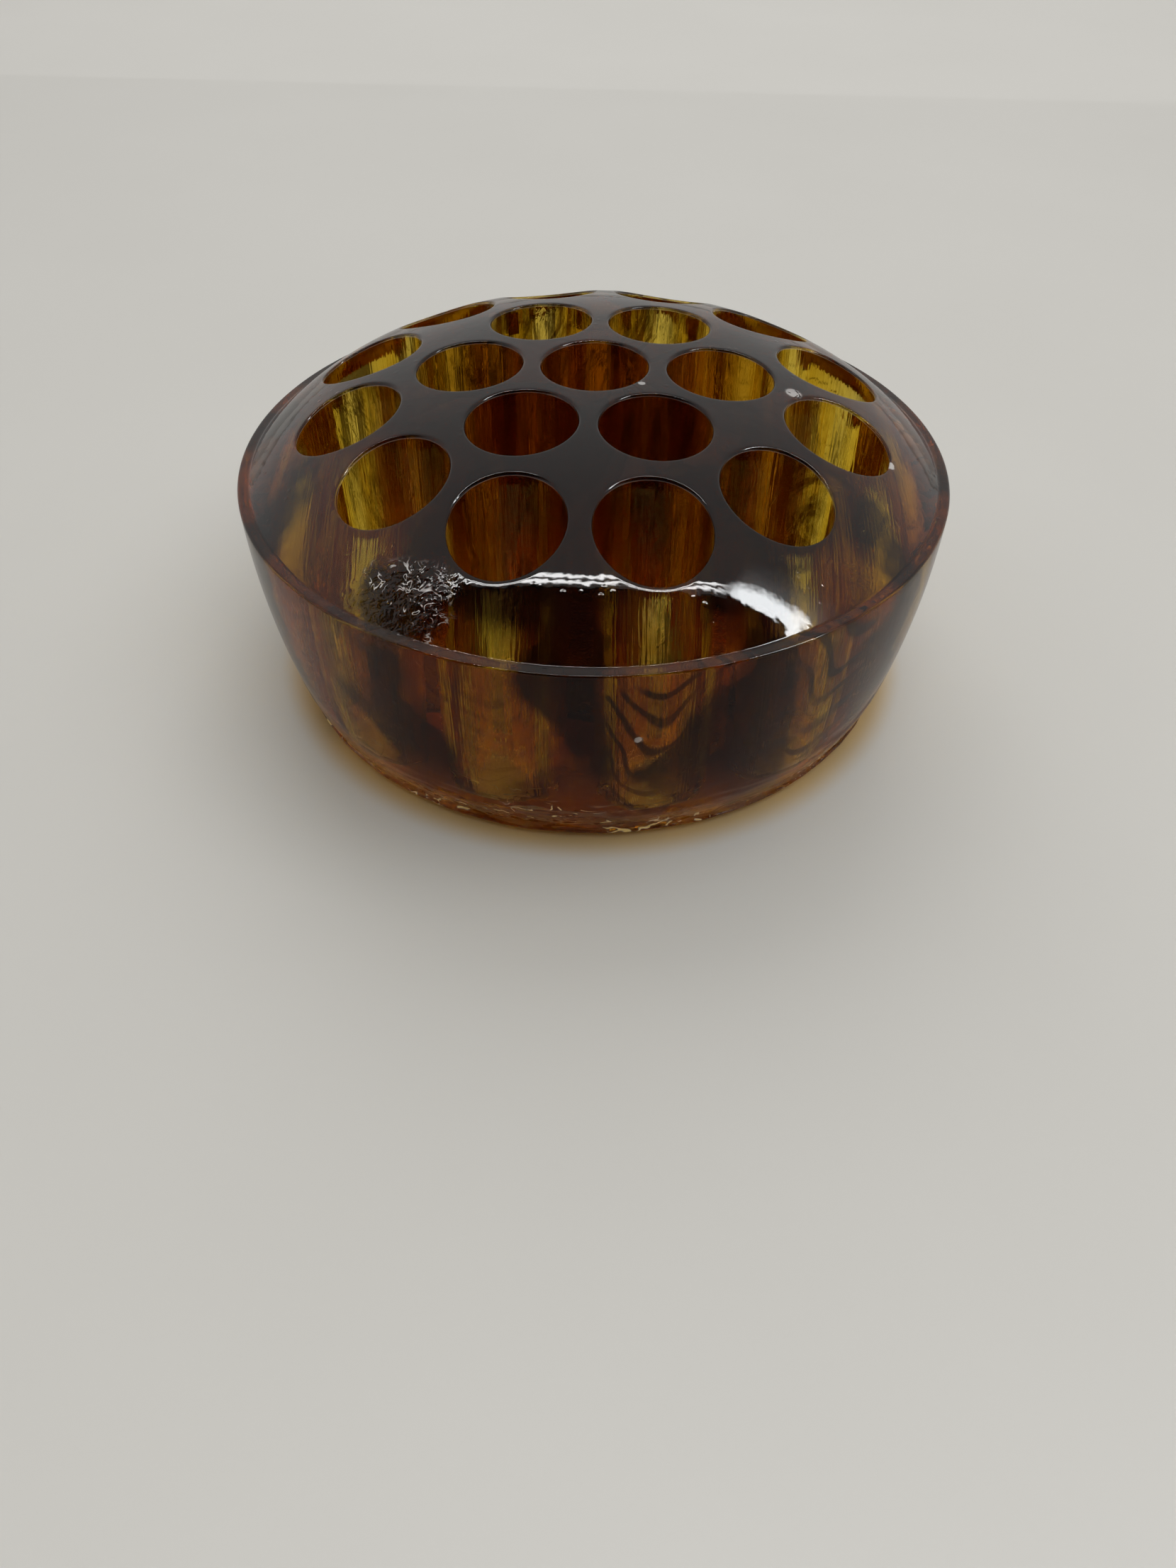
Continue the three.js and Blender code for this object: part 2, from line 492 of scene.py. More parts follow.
def from_half(t, value):
    """How far a value is from a half."""
    return t.maths("ABSOLUTE", t.maths("SUBTRACT", value, 0.5))


def ramp(t, value, span, levels):
    """A value eased from one level to the other as another crosses a span."""
    return t.add("ShaderNodeMapRange", value, *span, *levels, interpolation_type="SMOOTHSTEP")


def noise(t, where, scale, detail, out=0, **more):
    """A noise texture's value, or with out=1 its colour. A fourth coordinate, W, picks another pattern."""
    inputs = {"Vector": where, "Scale": scale, "Detail": detail, **more}
    return t.add("ShaderNodeTexNoise", inputs, out=out, noise_dimensions="4D" if "W" in more else "3D")


def level_between(t, share, first, second):
    """A number between two, by the second's share."""
    return t.add("ShaderNodeMix", {0: share, 2: first, 3: second}, data_type="FLOAT")


def colour_between(t, share, first, second):
    """A colour between two, by the second's share."""
    return t.add("ShaderNodeMix", {0: share, 6: first, 7: second}, data_type="RGBA", out=2)


# Geometry nodes

def new_group(name, inputs):
    """A group of geometry nodes that takes inputs, named by kind, and gives a geometry."""
    group = bpy.data.node_groups.new(name, "GeometryNodeTree")
    for kind, names in inputs.items():
        for label in names:
            group.interface.new_socket(label, in_out="INPUT", socket_type="NodeSocket" + kind)
    group.interface.new_socket("Geometry", in_out="OUTPUT", socket_type="NodeSocketGeometry")
    return group, Tree(group), group.nodes.new("NodeGroupInput").outputs


def joined(t, *geometries):
    """Some geometries as one."""
    join = t.tree.nodes.new("GeometryNodeJoinGeometry")
    for geometry in geometries:
        t.tree.links.new(geometry, join.inputs[0])
    return join.outputs[0]


def hand_out(t, geometry, material):
    """Makes a geometry smooth and of one material, as what its group gives."""
    smooth = t.add("GeometryNodeSetShadeSmooth", geometry)
    real = t.add("GeometryNodeRealizeInstances", smooth)
    finished = t.add("GeometryNodeSetMaterial", real, {"Material": material})
    result = t.tree.nodes.new("NodeGroupOutput")
    t.tree.links.new(finished, result.inputs[0])


def drilled(t, given):
    """The shell with the socket form at its nineteen places, welded to one closed surface."""
    centre = t.add("GeometryNodePoints", 1)
    inner = t.add("GeometryNodeMeshCircle", INNER_SOCKETS, given["Inner Ring"])
    outer = t.add("GeometryNodeMeshCircle", OUTER_SOCKETS, given["Outer Ring"])
    half_step = (0, 0, math.pi / OUTER_SOCKETS)
    outer = t.add("GeometryNodeTransform", outer, {"Rotation": half_step})
    places = joined(t, centre, inner, outer)
    form = t.add("GeometryNodeObjectInfo", given["Socket Form"], out=4)
    sockets = t.add("GeometryNodeInstanceOnPoints", places, {"Instance": form})
    sockets = t.add("GeometryNodeRealizeInstances", sockets)
    whole = joined(t, sockets, given["Geometry"])
    return t.add("GeometryNodeMergeByDistance", whole, {"Distance": MERGE_DISTANCE})


def crown_offset(t, given):
    """How each point moves down to follow the crown, by its lift and its distance from the axis."""
    lift = t.add("GeometryNodeInputNamedAttribute", "lift")
    distance = length(t, stretched(t, t.add("GeometryNodeInputPosition"), IN_PLAN))
    u = t.maths("DIVIDE", distance, given["Crown Radius"])
    u2 = t.times(u, u)
    u4 = t.times(u2, u2)
    early = t.times(u2, given["Crown Roundness"])
    late = t.times(u4, t.maths("SUBTRACT", 1.0, given["Crown Roundness"]))
    fall = t.times(t.maths("ADD", early, late), given["Crown Rise"])
    return t.add("ShaderNodeCombineXYZ", 0.0, 0.0, t.times(fall, lift, -1.0))


def skin_offset(t, given):
    """How each point moves inwards: in faint waves all over, and further where the foot chilled."""
    place = t.add("GeometryNodeInputPosition")
    normal = t.add("GeometryNodeInputNormal")
    height = t.add("ShaderNodeSeparateXYZ", place, out=2)

    def pattern(where, size, detail, **more):
        scale = t.maths("DIVIDE", 1.0, given[size])
        return noise(t, where, scale, detail, W=given["Seed"], **more)

    wave = t.times(pattern(place, "Wave Size", detail=2.0, Roughness=0.4), given["Waviness"])

    outside = t.maths("GREATER_THAN", length(t, stretched(t, place, IN_PLAN)), FOOT_RADIUS)
    facing = t.add("ShaderNodeSeparateXYZ", normal, out=2)
    outside = t.times(outside, t.add("ShaderNodeMapRange", facing, *SOLE_EDGE, *RISING))
    chill = pattern(stretched(t, place, CHILL_SQUASH), "Chill Size", detail=2.0, Roughness=0.5)
    chill = t.times(chill, ramp(t, height, (given["Chill Height"], 0.0), RISING), given["Chill Depth"])
    ripple = pattern(
        stretched(t, place, RIPPLE_SQUASH), "Ripple Length", detail=1.0, Roughness=0.5, Distortion=0.4
    )
    rippled = ramp(t, height, (given["Ripple Height"], RIPPLE_FULL_HEIGHT), (0.0, RIPPLE_GAIN))
    ripple = t.times(from_half(t, ripple), rippled, given["Ripple Depth"])
    foot = t.times(t.maths("ADD", chill, ripple), outside)

    inwards = t.times(t.maths("ADD", wave, foot), -1.0)
    return t.vectors("SCALE", normal, {"Scale": inwards})


def block_tree():
    """Geometry nodes that drill the sockets into the shell, settle the crown and make the skin uneven."""
    group, t, given = new_group("stem_sockets", {
        "Geometry": ("Geometry",),
        "Object": ("Socket Form",),
        "Float": (
            "Inner Ring", "Outer Ring", "Crown Radius", "Crown Rise", "Crown Roundness",
            "Waviness", "Wave Size", "Chill Depth", "Chill Size", "Chill Height",
            "Ripple Depth", "Ripple Length", "Ripple Height", "Seed",
        ),
        "Material": ("Glass",),
    })
    settled = t.add("GeometryNodeSetPosition", drilled(t, given), {"Offset": crown_offset(t, given)})
    wavy = t.add("GeometryNodeSetPosition", settled, {"Offset": skin_offset(t, given)})
    hand_out(t, wavy, given["Glass"])
    return group


def bubble_tree():
    """Geometry nodes that put a ball at each given point, and scatter small ones under the side's skin."""
    group, t, given = new_group("gas_bubbles", {
        "Geometry": ("Geometry",),
        "Int": ("Count", "Seed"),
        "Float": (
            "Rim", "Side Inset", "Rim Height", "Least Depth", "Most Depth", "Least Radius", "Most Radius",
        ),
        "Material": ("Gas",),
    })

    def chance(number, low, high):
        """A random value for each bubble, from the draw of this number."""
        seed = t.maths("ADD", given["Seed"], number)
        return t.add("FunctionNodeRandomValue", {2: low, 3: high, 8: seed}, out=1, data_type="FLOAT")

    turn = chance(1, 0.0, TAU)
    share = chance(2, *BUBBLE_HEIGHT_SHARES)
    depth = chance(3, given["Least Depth"], given["Most Depth"])
    size = chance(4, given["Least Radius"], given["Most Radius"])
    below = t.maths("SUBTRACT", 1.0, share)
    inset = t.times(below, below, given["Side Inset"])
    radius = t.maths("SUBTRACT", t.maths("SUBTRACT", given["Rim"], inset), depth)
    place = t.add(
        "ShaderNodeCombineXYZ",
        t.times(radius, t.maths("COSINE", turn)),
        t.times(radius, t.maths("SINE", turn)),
        t.times(share, given["Rim Height"]),
    )
    small = t.add("GeometryNodePoints", given["Count"], place)
    ball = t.add("GeometryNodeMeshIcoSphere", 1.0, BALL_SUBDIVISIONS)
    own_size = t.add("GeometryNodeInputNamedAttribute", "bubble_radius")
    large = t.add("GeometryNodeInstanceOnPoints", given["Geometry"], {"Instance": ball, "Scale": own_size})
    small = t.add("GeometryNodeInstanceOnPoints", small, {"Instance": ball, "Scale": size})
    hand_out(t, joined(t, large, small), given["Gas"])
    return group


def run_group(thing, group, values):
    """Turns what a group makes of an object and some values into the object's own plain mesh."""
    modifier = thing.modifiers.new(group.name, "NODES")
    modifier.node_group = group
    for item in group.interface.items_tree:
        if item.in_out == "INPUT" and item.name in values:
            modifier[item.identifier] = values[item.name]
    bpy.context.view_layer.update()
    ready = thing.evaluated_get(bpy.context.evaluated_depsgraph_get())
    mesh = bpy.data.meshes.new_from_object(ready)
    thing.modifiers.clear()
    old = thing.data
    name = old.name
    thing.data = mesh
    bpy.data.meshes.remove(old)
    mesh.name = name


def glass_block(block, glass):
    """The block as one plain closed mesh."""
    shell = block_shell(block)
    form = socket_form(block)
    run_group(shell, block_tree(), {
        "Socket Form": form,
        "Inner Ring": block["inner_ring"],
        "Outer Ring": block["outer_ring"],
        "Crown Radius": block["crown_radius"],
        "Crown Rise": CROWN_RISE,
        "Crown Roundness": CROWN_ROUNDNESS,
        "Waviness": WAVINESS,
        "Wave Size": WAVE_SIZE,
        "Chill Depth": CHILL_DEPTH,
        "Chill Size": CHILL_SIZE,
        "Chill Height": CHILL_HEIGHT,
        "Ripple Depth": RIPPLE_DEPTH,
        "Ripple Length": RIPPLE_LENGTH,
        "Ripple Height": RIPPLE_HEIGHT,
        "Seed": WAVE_SEED,
        "Glass": glass,
    })
    bpy.data.objects.remove(form)
    work = bmesh.new()
    work.from_mesh(shell.data)
    bmesh.ops.recalc_face_normals(work, faces=work.faces)
    work.to_mesh(shell.data)
    work.free()
    shell.name = shell.data.name = "clouded_glass_block"
    return shell


def gas_bubbles(block, gas):
    """The bubbles in the glass as one plain mesh."""
    mesh = bpy.data.meshes.new("gas_bubbles")
    mesh.from_pydata([place for place, _ in LARGE_BUBBLES], [], [])
    radii = [radius for _, radius in LARGE_BUBBLES]
    mesh.attributes.new("bubble_radius", "FLOAT", "POINT").data.foreach_set("value", radii)
    bubbles = placed("gas_bubbles", mesh)
    run_group(bubbles, bubble_tree(), {
        "Count": SMALL_BUBBLES,
        "Rim": block["rim"],
        "Side Inset": SIDE_INSET,
        "Rim Height": block["rim_height"],
        "Least Depth": BUBBLE_DEPTHS[0],
        "Most Depth": BUBBLE_DEPTHS[1],
        "Least Radius": BUBBLE_RADII[0],
        "Most Radius": BUBBLE_RADII[1],
        "Seed": BUBBLE_SEED,
        "Gas": gas,
    })
    return bubbles


# Materials

def fresh_material(name):
    """A material without nodes, and what adds them."""
    material = bpy.data.materials.new(name)
    material.use_nodes = True
    material.node_tree.nodes.clear()
    return material, Tree(material.node_tree)


def join_output(t, surface, volume=None):
    """Joins a surface, and a volume where there is one, to the material's output."""
    output = t.tree.nodes.new("ShaderNodeOutputMaterial")
    t.tree.links.new(surface, output.inputs["Surface"])
    if volume is not None:
        t.tree.links.new(volume, output.inputs["Volume"])


def glass_places(t):
    """What the glass's patterns read: the place, the place adrift in swirls, and what follows from them."""
    where = t.add("ShaderNodeTexCoord", out=3)
    drift = noise(t, where, scale=30.0, detail=2.0, out=1)
    drift = t.vectors("SUBTRACT", drift, (0.5, 0.5, 0.5))
    drift = t.vectors("SCALE", drift, {"Scale": SWIRL_REACH})
    swirled = t.vectors("ADD", where, drift)
    parts = t.tree.nodes.new("ShaderNodeSeparateXYZ")
    t.tree.links.new(swirled, parts.inputs[0])
    x, y, height = parts.outputs
    turn = t.maths("ARCTAN2", x, t.times(y, -1.0))
    return {
        "where": where,
        "swirled": swirled,
        "x": x,
        "height": height,
        "from_axis": length(t, stretched(t, where, IN_PLAN)),
        "between": t.maths("COSINE", t.times(turn, float(OUTER_SOCKETS))),
        "wall": t.add("ShaderNodeAttribute", attribute_name="socket_wall", out=2),
    }


def drawn_lines(t, at):
    """Dark veins and thin threads that the plunger's pins drew down into hanging loops."""
    field = noise(t, at["swirled"], scale=26.0, detail=1.0, Roughness=0.4)
    hang = t.times(at["height"], LOOPS_PER_METRE)
    hang = t.maths("MULTIPLY_ADD", at["between"], -LOOP_SAG, hang)
    hang = t.maths("MULTIPLY_ADD", field, LOOP_WANDER, hang)
    vein = ramp(t, from_half(t, t.maths("FRACT", hang)), (0.09, 0.28), FALLING)
    thread = from_half(t, t.maths("FRACT", t.times(hang, THREADS_PER_LOOP)))
    thread = ramp(t, thread, (0.01, 0.10), FALLING)
    some = noise(t, at["where"], scale=50.0, detail=1.0)
    vein = t.times(vein, ramp(t, some, (0.42, 0.54), (0.0, 0.97)))
    thread = t.times(thread, ramp(t, some, (0.56, 0.44), (0.0, 0.9)))
    below_rim = ramp(t, at["height"], VEIN_TOP, FALLING)
    right_of_front = ramp(t, at["x"], VEIN_START, (0.45, 1.0))
    return t.times(t.most(vein, thread), below_rim, right_of_front)


def wrinkled_patch(t, at):
    """Where the crown chilled first and wrinkled: a patch with a ragged edge."""
    distance = spot_distance(t, at["where"], WRINKLE_PLACE, WRINKLE_SPREAD)
    ragged = noise(t, at["where"], scale=260.0, detail=2.0)
    return ramp(t, t.maths("MULTIPLY_ADD", ragged, 0.8, distance), (1.0, 1.4), FALLING)


def dark_cover(t, at, wrinkled):
    """How much dark glass covers the skin: clouds between the columns, the crown, veins and seeds."""
    clouds = [
        noise(t, at["swirled"], scale=40.0, detail=4.0, Roughness=0.55, W=seed)
        for seed in CLOUD_SEEDS
    ]
    off_left = t.maths("ABSOLUTE", t.maths("SUBTRACT", at["x"], LEFT_COLUMN))
    cloud = level_between(t, ramp(t, off_left, LEFT_BLEND, RISING), *clouds)
    veil = t.maths("MULTIPLY_ADD", at["between"], 0.10, cloud)
    veil = t.maths("ADD", veil, ramp(t, at["height"], VEIL_FOOT, (0.04, 0.0)))
    veil = ramp(t, veil, (0.46, 0.60), (0.03, 0.985))
    crown = ramp(t, at["height"], CROWN_START, RISING)
    crown = t.times(crown, ramp(t, cloud, (0.35, 0.6), (0.6, 1.0)))
    cover = t.most(veil, t.times(wrinkled, 0.97), crown, drawn_lines(t, at))
    for centre in SEEDS:
        distance = spot_distance(t, at["where"], centre, SEED_SIZE)
        cover = t.most(cover, ramp(t, distance, (0.8, 1.1), FALLING))
    return cover


def skin_tint(t, at, cover):
    """The colour of the skin: clear, or that of the dark glass over it, which is lighter at the foot."""
    low = ramp(t, at["height"], FOOT_TINT, FALLING)
    return colour_between(t, cover, CLEAR, colour_between(t, low, DARK_GLASS, FOOT_GLASS))


def wall_streaks(t, at, upper):
    """Streaks of stain down the sockets' walls, faint on the outer walls and almost gone low down."""
    drawn = stretched(t, at["swirled"], STREAK_STRETCH)
    fine = noise(t, drawn, scale=900.0, detail=3.0, Roughness=0.6)
    broad = noise(t, drawn, scale=190.0, detail=2.0, Roughness=0.5)
    streak = t.maths("MULTIPLY_ADD", fine, 0.45, t.times(broad, 0.55))
    streak = ramp(t, streak, (0.49, 0.61), (0.0, 0.95))
    return t.times(streak, ramp(t, at["from_axis"], OUTER_WALLS, (1.0, 0.3)), t.most(upper, 0.04))


def wall_tint(t, at, upper, streak):
    """The colour of the sockets' walls: clear, and warm at the block's heart, under the streaks of stain."""
    from_heart = length(t, stretched(t, t.vectors("SUBTRACT", at["where"], HEART_CENTRE), IN_PLAN))
    heart = t.times(ramp(t, from_heart, HEART_EDGE, FALLING), upper)
    outer = ramp(t, at["from_axis"], OUTER_WALLS, RISING)
    stain = colour_between(t, outer, INNER_STAIN, OUTER_STAIN)
    return colour_between(t, streak, colour_between(t, heart, CLEAR, HEART), stain)


def painted_glints(t, at, wrinkled, chilled):
    """How much painted glint lies on the skin: pale worms as glints over the wrinkles, golden glints along
    the foot's folds, a painted highlight round the lips, and chips and specks painted pale as the glints they
    catch; and the fold glints alone.
    """
    height = at["height"]
    # Pale worms over the wrinkled patch: painted glints of the lights in the wrinkles
    worm_glints = noise(t, at["where"], scale=520.0, detail=1.0, Distortion=1.4)
    worm_glints = ramp(t, from_half(t, worm_glints), (0.010, 0.040), FALLING)
    broken = noise(t, at["where"], scale=480.0, detail=1.0, W=BREAK_SEED)
    broken = ramp(t, broken, (0.44, 0.56), (0.0, 0.85))
    glint_cover = t.times(wrinkled, worm_glints, broken, ramp(t, height, LAND_TOP, RISING))
    # Pale golden lines along the foot's folds: painted glints
    fold_glints = t.times(
        ramp(t, from_half(t, chilled), (0.008, 0.030), FALLING),
        ramp(t, broken, (0.3, 0.7), RISING),
        ramp(t, height, FOLD_GLINTS_START, RISING),
        ramp(t, height, FOLD_GLINTS_END, (0.9, 0.0)),
    )
    # A painted highlight along the lips, where the skin's look turns into the walls'
    lip_highlight = ramp(t, from_half(t, at["wall"]), (0.15, 0.45), (0.30, 0.0))
    glint_cover = t.most(glint_cover, fold_glints, lip_highlight)
    # Chips and specks, real marks, painted pale as the glints they catch
    for centre, size in CHIPS:
        distance = spot_distance(t, at["where"], centre, (size, size, size))
        distance = t.maths("MULTIPLY_ADD", worm_glints, 0.6, distance)
        glint_cover = t.most(glint_cover, ramp(t, distance, (0.8, 1.3), (0.6, 0.0)))
    return glint_cover, fold_glints


def glass_relief(t, at, wrinkled, chilled, streak):
    """Wrinkles, pimples, a fine unevenness and the foot's folds on the skin, and grooves in the walls."""
    where = at["where"]
    wrinkles = noise(t, where, scale=900.0, detail=2.0, Distortion=0.6)
    pimples = t.add("ShaderNodeTexVoronoi", {"Vector": where, "Scale": 700.0}, feature="F1")
    pimples = ramp(t, pimples, (0.1, 0.3), FALLING)
    sparse = noise(t, where, scale=120.0, detail=2.0)
    sparse = t.add("ShaderNodeMapRange", sparse, 0.52, 0.62, *RISING)
    uneven = noise(t, where, scale=420.0, detail=2.0, Roughness=0.5)
    skin = t.times(wrinkled, t.times(wrinkles, 5.0))
    skin = t.maths("MULTIPLY_ADD", t.times(pimples, sparse), 0.4, skin)
    skin = t.maths("MULTIPLY_ADD", uneven, 0.35, skin)
    skin = t.maths("MULTIPLY_ADD", chilled, ramp(t, at["height"], CHILL_FADE, (26.0, 0.0)), skin)
    grooves = noise(t, stretched(t, where, GROOVE_STRETCH), scale=2800.0, detail=1.0)
    walls = t.times(t.maths("MULTIPLY_ADD", grooves, 2.2, streak), at["wall"])
    relief = t.maths("MULTIPLY_ADD", skin, t.maths("SUBTRACT", 1.0, at["wall"]), walls)
    return t.add("ShaderNodeBump", {"Strength": 0.2, "Distance": RELIEF_DEPTH, "Height": relief})


def clouded_glass():
    """Amber glass, darker the deeper it is, with clouds and veins in its skin and stain in its sockets."""
    material, t = fresh_material("clouded_amber_glass")
    at = glass_places(t)
    upper = ramp(t, at["height"], STAIN_START, RISING)
    wrinkled = wrinkled_patch(t, at)
    chilled = noise(t, stretched(t, at["where"], FOLD_SQUASH), scale=220.0, detail=1.0, Distortion=0.8)
    streak = wall_streaks(t, at, upper)
    skin = skin_tint(t, at, dark_cover(t, at, wrinkled))
    tint = colour_between(t, at["wall"], skin, wall_tint(t, at, upper, streak))
    glint_cover, fold_glints = painted_glints(t, at, wrinkled, chilled)
    # Where painted glints lie, their colour takes the place of the glass's tint, and the glass there lets no
    # light through
    surface = t.add(
        "ShaderNodeBsdfPrincipled",
        {
            "Base Color": colour_between(t, glint_cover, tint, colour_between(t, fold_glints, GLINT_WHITE, GOLDEN_FOLD_GLINT)),
            "Roughness": level_between(t, at["wall"], SKIN_ROUGHNESS, WALL_ROUGHNESS),
            "IOR": GLASS_IOR,
            "Transmission Weight": t.maths("SUBTRACT", 1.0, glint_cover),
            "Normal": glass_relief(t, at, wrinkled, chilled, streak),
        },
    )
    join_output(t, surface, t.add("ShaderNodeVolumeAbsorption", DEPTH_COLOUR, DEPTH_DENSITY))
    return material


def bubble_gas():
    """What light meets where the glass ends at a bubble. The refraction is the glass's, turned round."""
    material, t = fresh_material("bubble_gas")
    uneven = noise(t, t.add("ShaderNodeTexCoord", out=3), scale=1200.0, detail=1.0)
    bump = t.add("ShaderNodeBump", {"Strength": 0.3, "Distance": 0.1 * MM, "Height": uneven})
    surface = t.add(
        "ShaderNodeBsdfPrincipled",
        {"Roughness": 0.02, "IOR": 1 / GLASS_IOR, "Transmission Weight": 1.0, "Normal": bump},
    )
    join_output(t, surface)
    return material


def painted_floor():
    """Off-white paint with a faint unevenness, and an amber glow painted round where the block stands, for
    the light that the glass throws.
    """
    material, t = fresh_material("floor_paint")
    where = t.add("ShaderNodeTexCoord", out=3)
    paint = colour_between(t, noise(t, where, scale=14.0, detail=4.0), *PAINT_TONES)
    # Painted light: an amber glow round the block's foot, for the light that the glass throws on the floor
    away = ramp(t, length(t, where), PAINTED_THROWN_LIGHT_EDGE, RISING)
    colour = colour_between(t, away, PAINTED_THROWN_LIGHT, paint)
    join_output(t, t.add("ShaderNodeBsdfPrincipled", {"Base Color": colour, "Roughness": 0.45}))
    return material


# Studio

def square(name, corners, material):
    """An object of one face, with a material."""
    mesh = bpy.data.meshes.new(name)
    mesh.from_pydata(corners, [], [(0, 1, 2, 3)])
    mesh.materials.append(material)
    return placed(name, mesh)


def add_floor():
    size = FLOOR_REACH
    corners = [(-size, -size, 0), (size, -size, 0), (size, size, 0), (-size, size, 0)]
    floor = square("floor", corners, painted_floor())


def add_camera():
    """The camera where the photograph was taken from, turned with the block's own turn on its axis."""
    camera = bpy.data.cameras.new("camera")
    camera.sensor_fit = "AUTO"
    camera.sensor_width = SENSOR_LONG_SIDE
    camera.lens = FOCAL_PIXELS * SENSOR_LONG_SIDE / IMAGE_HEIGHT
    camera.clip_start = 0.01
    camera.clip_end = 20
    place = Vector((0, -math.cos(CAMERA_ELEVATION), math.sin(CAMERA_ELEVATION))) * CAMERA_DISTANCE
    forward = Vector((
        math.sin(CAMERA_YAW) * math.cos(CAMERA_PITCH),
        math.cos(CAMERA_YAW) * math.cos(CAMERA_PITCH),
        -math.sin(CAMERA_PITCH),
    ))
    right = forward.cross(Vector((0, 0, 1))).normalized()
    up = right.cross(forward)
    turned_right = math.cos(CAMERA_ROLL) * right + math.sin(CAMERA_ROLL) * up
    turned_up = math.cos(CAMERA_ROLL) * up - math.sin(CAMERA_ROLL) * right
    axes = Matrix((turned_right, turned_up, -forward)).transposed().to_4x4()
    holder = placed("camera", camera)
    holder.matrix_world = Matrix.Rotation(-BLOCK_TURN, 4, "Z") @ Matrix.Translation(place) @ axes
    bpy.context.scene.camera = holder


def add_softbox(name, place, power):
    """A square area lamp, aimed at the block. The bright cards stand for it in reflections."""
    lamp = bpy.data.lights.new(name, "AREA")
    lamp.shape = "RECTANGLE"
    lamp.size = lamp.size_y = SOFTBOX_SIZE
    lamp.energy = power
    holder = placed(name, lamp)
    holder.location = place
    direction = Vector(SOFTBOX_AIM) - Vector(place)
    holder.rotation_euler = direction.to_track_quat("-Z", "Y").to_euler()
    holder.visible_camera = False
    holder.visible_glossy = False


def light_world():
    """A pale room. What lights the floor comes mostly from behind, so the block's shadow falls forward."""
    world = bpy.data.worlds.new("studio")
    bpy.context.scene.world = world
    world.use_nodes = True
    tree = world.node_tree
    tree.nodes.clear()
    t = Tree(tree)
    direction = t.add("ShaderNodeTexCoord", out=0)
    back = t.add("ShaderNodeSeparateXYZ", direction, out=1)
    lit = ramp(t, back, FRONT_EDGE, (FRONT_LEVEL, ROOM_LEVEL))
    paths = tree.nodes.new("ShaderNodeLightPath").outputs
    seen = t.most(paths["Is Camera Ray"], paths["Is Glossy Ray"], paths["Is Transmission Ray"])
    light = t.add("ShaderNodeBackground", ROOM_COLOUR, level_between(t, seen, lit, ROOM_LEVEL))
    output = tree.nodes.new("ShaderNodeOutputWorld")
    tree.links.new(light, output.inputs["Surface"])


def add_card(name, place, across, along, size, colour, strength, cover):
    """A studio card that shows in reflections only, or where it is bright also through the glass.

    Its cover, 0 to 1, is made from the distances across it and along it.
    """
    place, across, along = Vector(place), Vector(across).normalized(), Vector(along).normalized()
    material, t = fresh_material(name)
    where = t.add("ShaderNodeTexCoord", out=3)
    local = t.vectors("SUBTRACT", where, place)
    u = t.vectors("DOT_PRODUCT", local, across, out=1)
    v = t.vectors("DOT_PRODUCT", local, along, out=1)
    light = t.add("ShaderNodeEmission", (*colour, 1), strength)
    clear = t.add("ShaderNodeBsdfTransparent")
    join_output(t, t.add("ShaderNodeMixShader", cover(t, u, v), clear, light))
    corners = [
        place + across * size[0] / 2 * i + along * size[1] / 2 * j
        for i, j in ((-1, -1), (1, -1), (1, 1), (-1, 1))
    ]
    card = square(name, corners, material)
    card.visible_camera = False
    card.visible_diffuse = False
    card.visible_transmission = strength > 1
    card.visible_shadow = False


def front_band(t, u, v):
    """Cover that fades out to the left and the right."""
    return ramp(t, t.maths("ABSOLUTE", u), (0.7, 1.45), FALLING)


def foot_reflection_shade(t, u, v):
    """Cover all round the foot, deepest in front, with none under the block: a black sheet that paints shade
    into the floor's reflection round the foot.
    """
    turn = t.maths("ABSOLUTE", t.maths("ARCTAN2", u, t.times(v, -1.0)))
    from_axis = length(t, t.add("ShaderNodeCombineXYZ", u, v, 0.0))
    return t.times(ramp(t, turn, (0.5, 1.3), (0.65, 0.3)), ramp(t, from_axis, FOOT_CARD_EDGE, RISING))


def two_tubes(t, u, v):
    """Cover in two soft lines, side by side."""
    off = t.maths("ABSOLUTE", t.maths("SUBTRACT", t.maths("ABSOLUTE", v), TUBE_SPACING / 2))
    ends = ramp(t, t.maths("ABSOLUTE", u), (0.44, 0.52), FALLING)
    return t.times(ramp(t, off, (0.004, 0.015), FALLING), ends)


def window_pane(t, u, v):
    """Cover with a sharp edge on one side and a bright core, from which a faint glow goes on."""
    frame_edge = ramp(t, u, (-0.03, -0.015), RISING)
    core = ramp(t, u, (0.02, 0.08), FALLING)
    glow = ramp(t, u, (0.0, 0.20), (0.07, 0.0))
    ends = ramp(t, t.maths("ABSOLUTE", v), (0.17, 0.26), FALLING)
    return t.times(t.most(core, glow), frame_edge, ends)


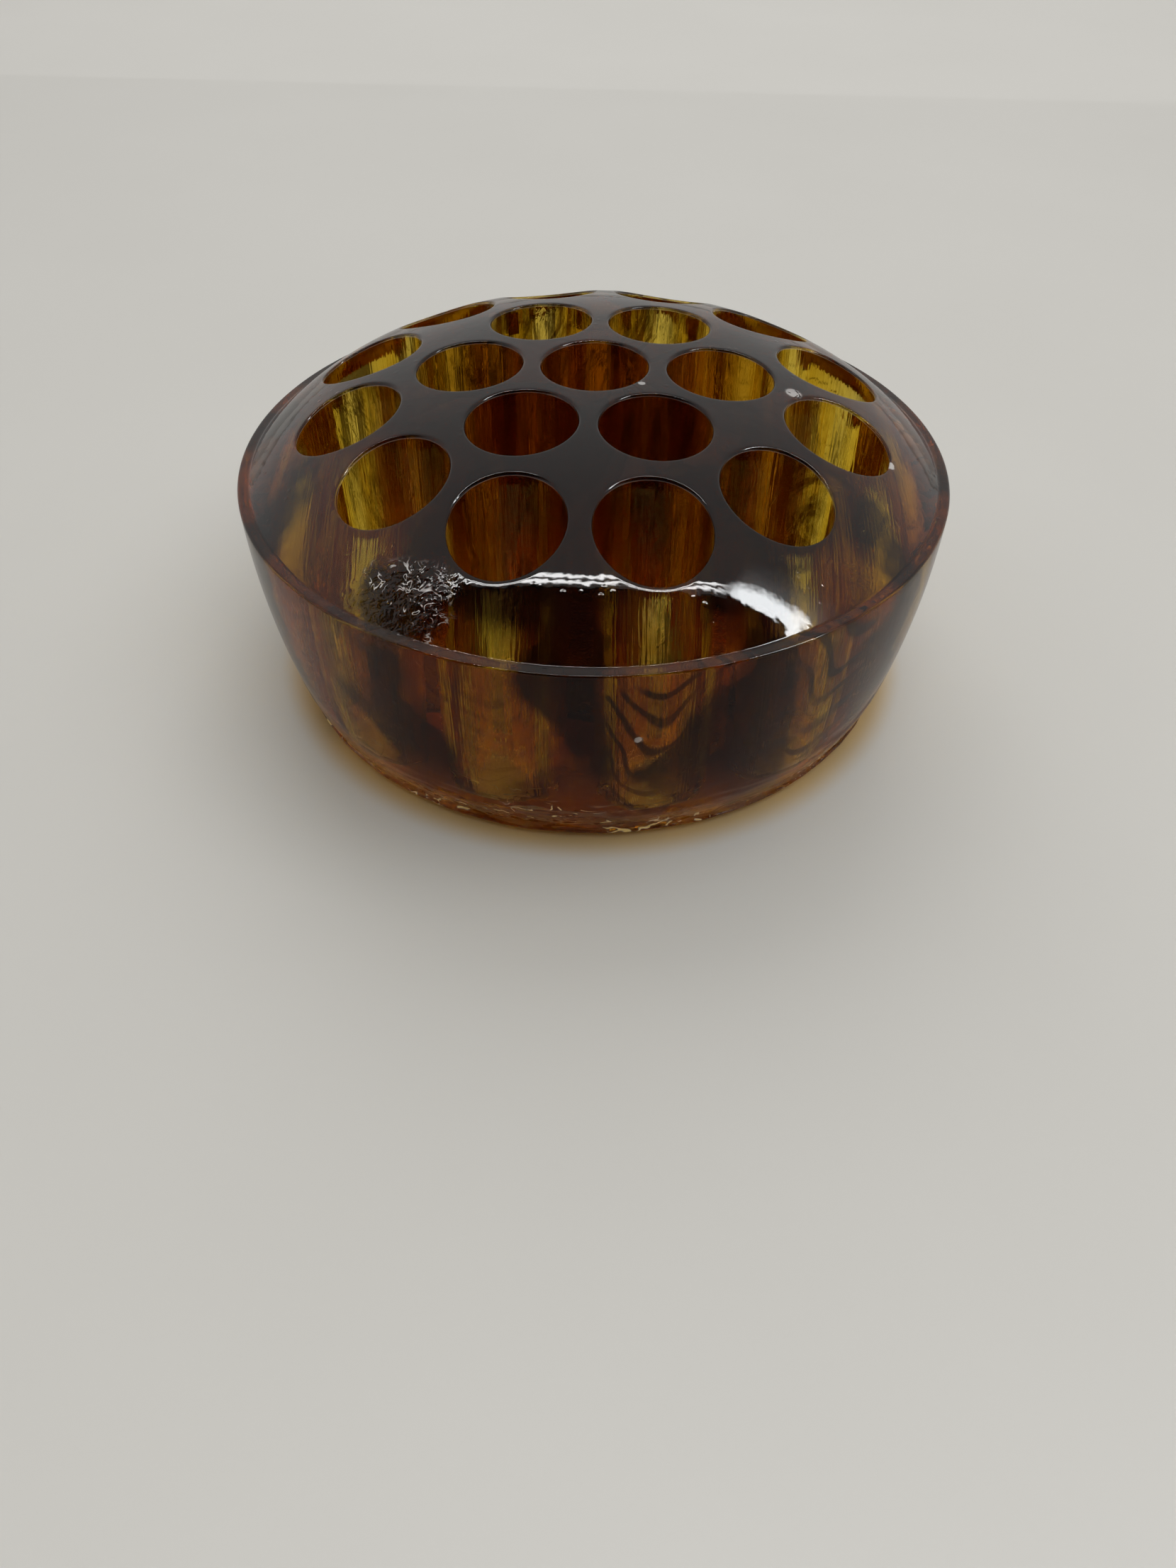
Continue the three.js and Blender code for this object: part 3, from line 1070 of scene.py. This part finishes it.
def add_cards():
    """What the gloss mirrors: black over and under the front, two tubes, and a window on the right."""
    add_card(
        "black_card", place=(0, -0.685, 0.56), across=(1, 0, 0), along=(0, -1.03, -0.88),
        size=(3.0, 1.35), colour=BLACK, strength=1.0, cover=front_band,
    )
    # A black sheet on the floor, seen only in reflections: painted shade on the floor's mirror image round
    # the foot
    add_card(
        "foot_card", place=(0, 0, 0.3 * MM), across=(1, 0, 0), along=(0, 1, 0),
        size=(0.6, 0.6), colour=BLACK, strength=1.0, cover=foot_reflection_shade,
    )
    add_card(
        "tubes", place=(0, -0.11, 0.93), across=(1, 0, 0), along=(0, 1, 0),
        size=(1.1, 0.08), colour=WHITE, strength=BRIGHT, cover=two_tubes,
    )
    add_card(
        "window", place=(0.60, -0.15, 0.66), across=(0.24, 0.97, 0), along=(-0.70, 0.18, 0.69),
        size=(0.8, 0.55), colour=DAYLIGHT, strength=BRIGHT, cover=window_pane,
    )


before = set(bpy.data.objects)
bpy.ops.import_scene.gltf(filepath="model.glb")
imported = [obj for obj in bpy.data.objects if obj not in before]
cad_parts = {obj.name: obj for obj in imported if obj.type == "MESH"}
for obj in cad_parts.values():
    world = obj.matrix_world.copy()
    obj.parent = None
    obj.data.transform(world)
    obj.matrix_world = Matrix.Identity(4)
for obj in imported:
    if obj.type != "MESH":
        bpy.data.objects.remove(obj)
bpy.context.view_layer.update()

low, high = (Vector(corner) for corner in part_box("glass_block"))
block = measure_block(low, high)
piece = glass_block(block, clouded_glass())
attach(piece, "root")
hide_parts("glass_block")
bubbles = gas_bubbles(block, bubble_gas())
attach(bubbles, "root")

add_floor()
add_camera()
light_world()
add_cards()
add_softbox("soft_from_behind", place=(-0.1, 0.9, 0.9), power=4.5)
add_softbox("soft_from_above", place=(0.35, -0.2, 0.95), power=5)

bpy.context.scene.view_settings.view_transform = "Standard"

# A line of sight passes many glass walls, and is mirrored in many more, before it leaves the block
cycles = bpy.context.scene.cycles
cycles.max_bounces = 40
cycles.transmission_bounces = 40
cycles.glossy_bounces = 24
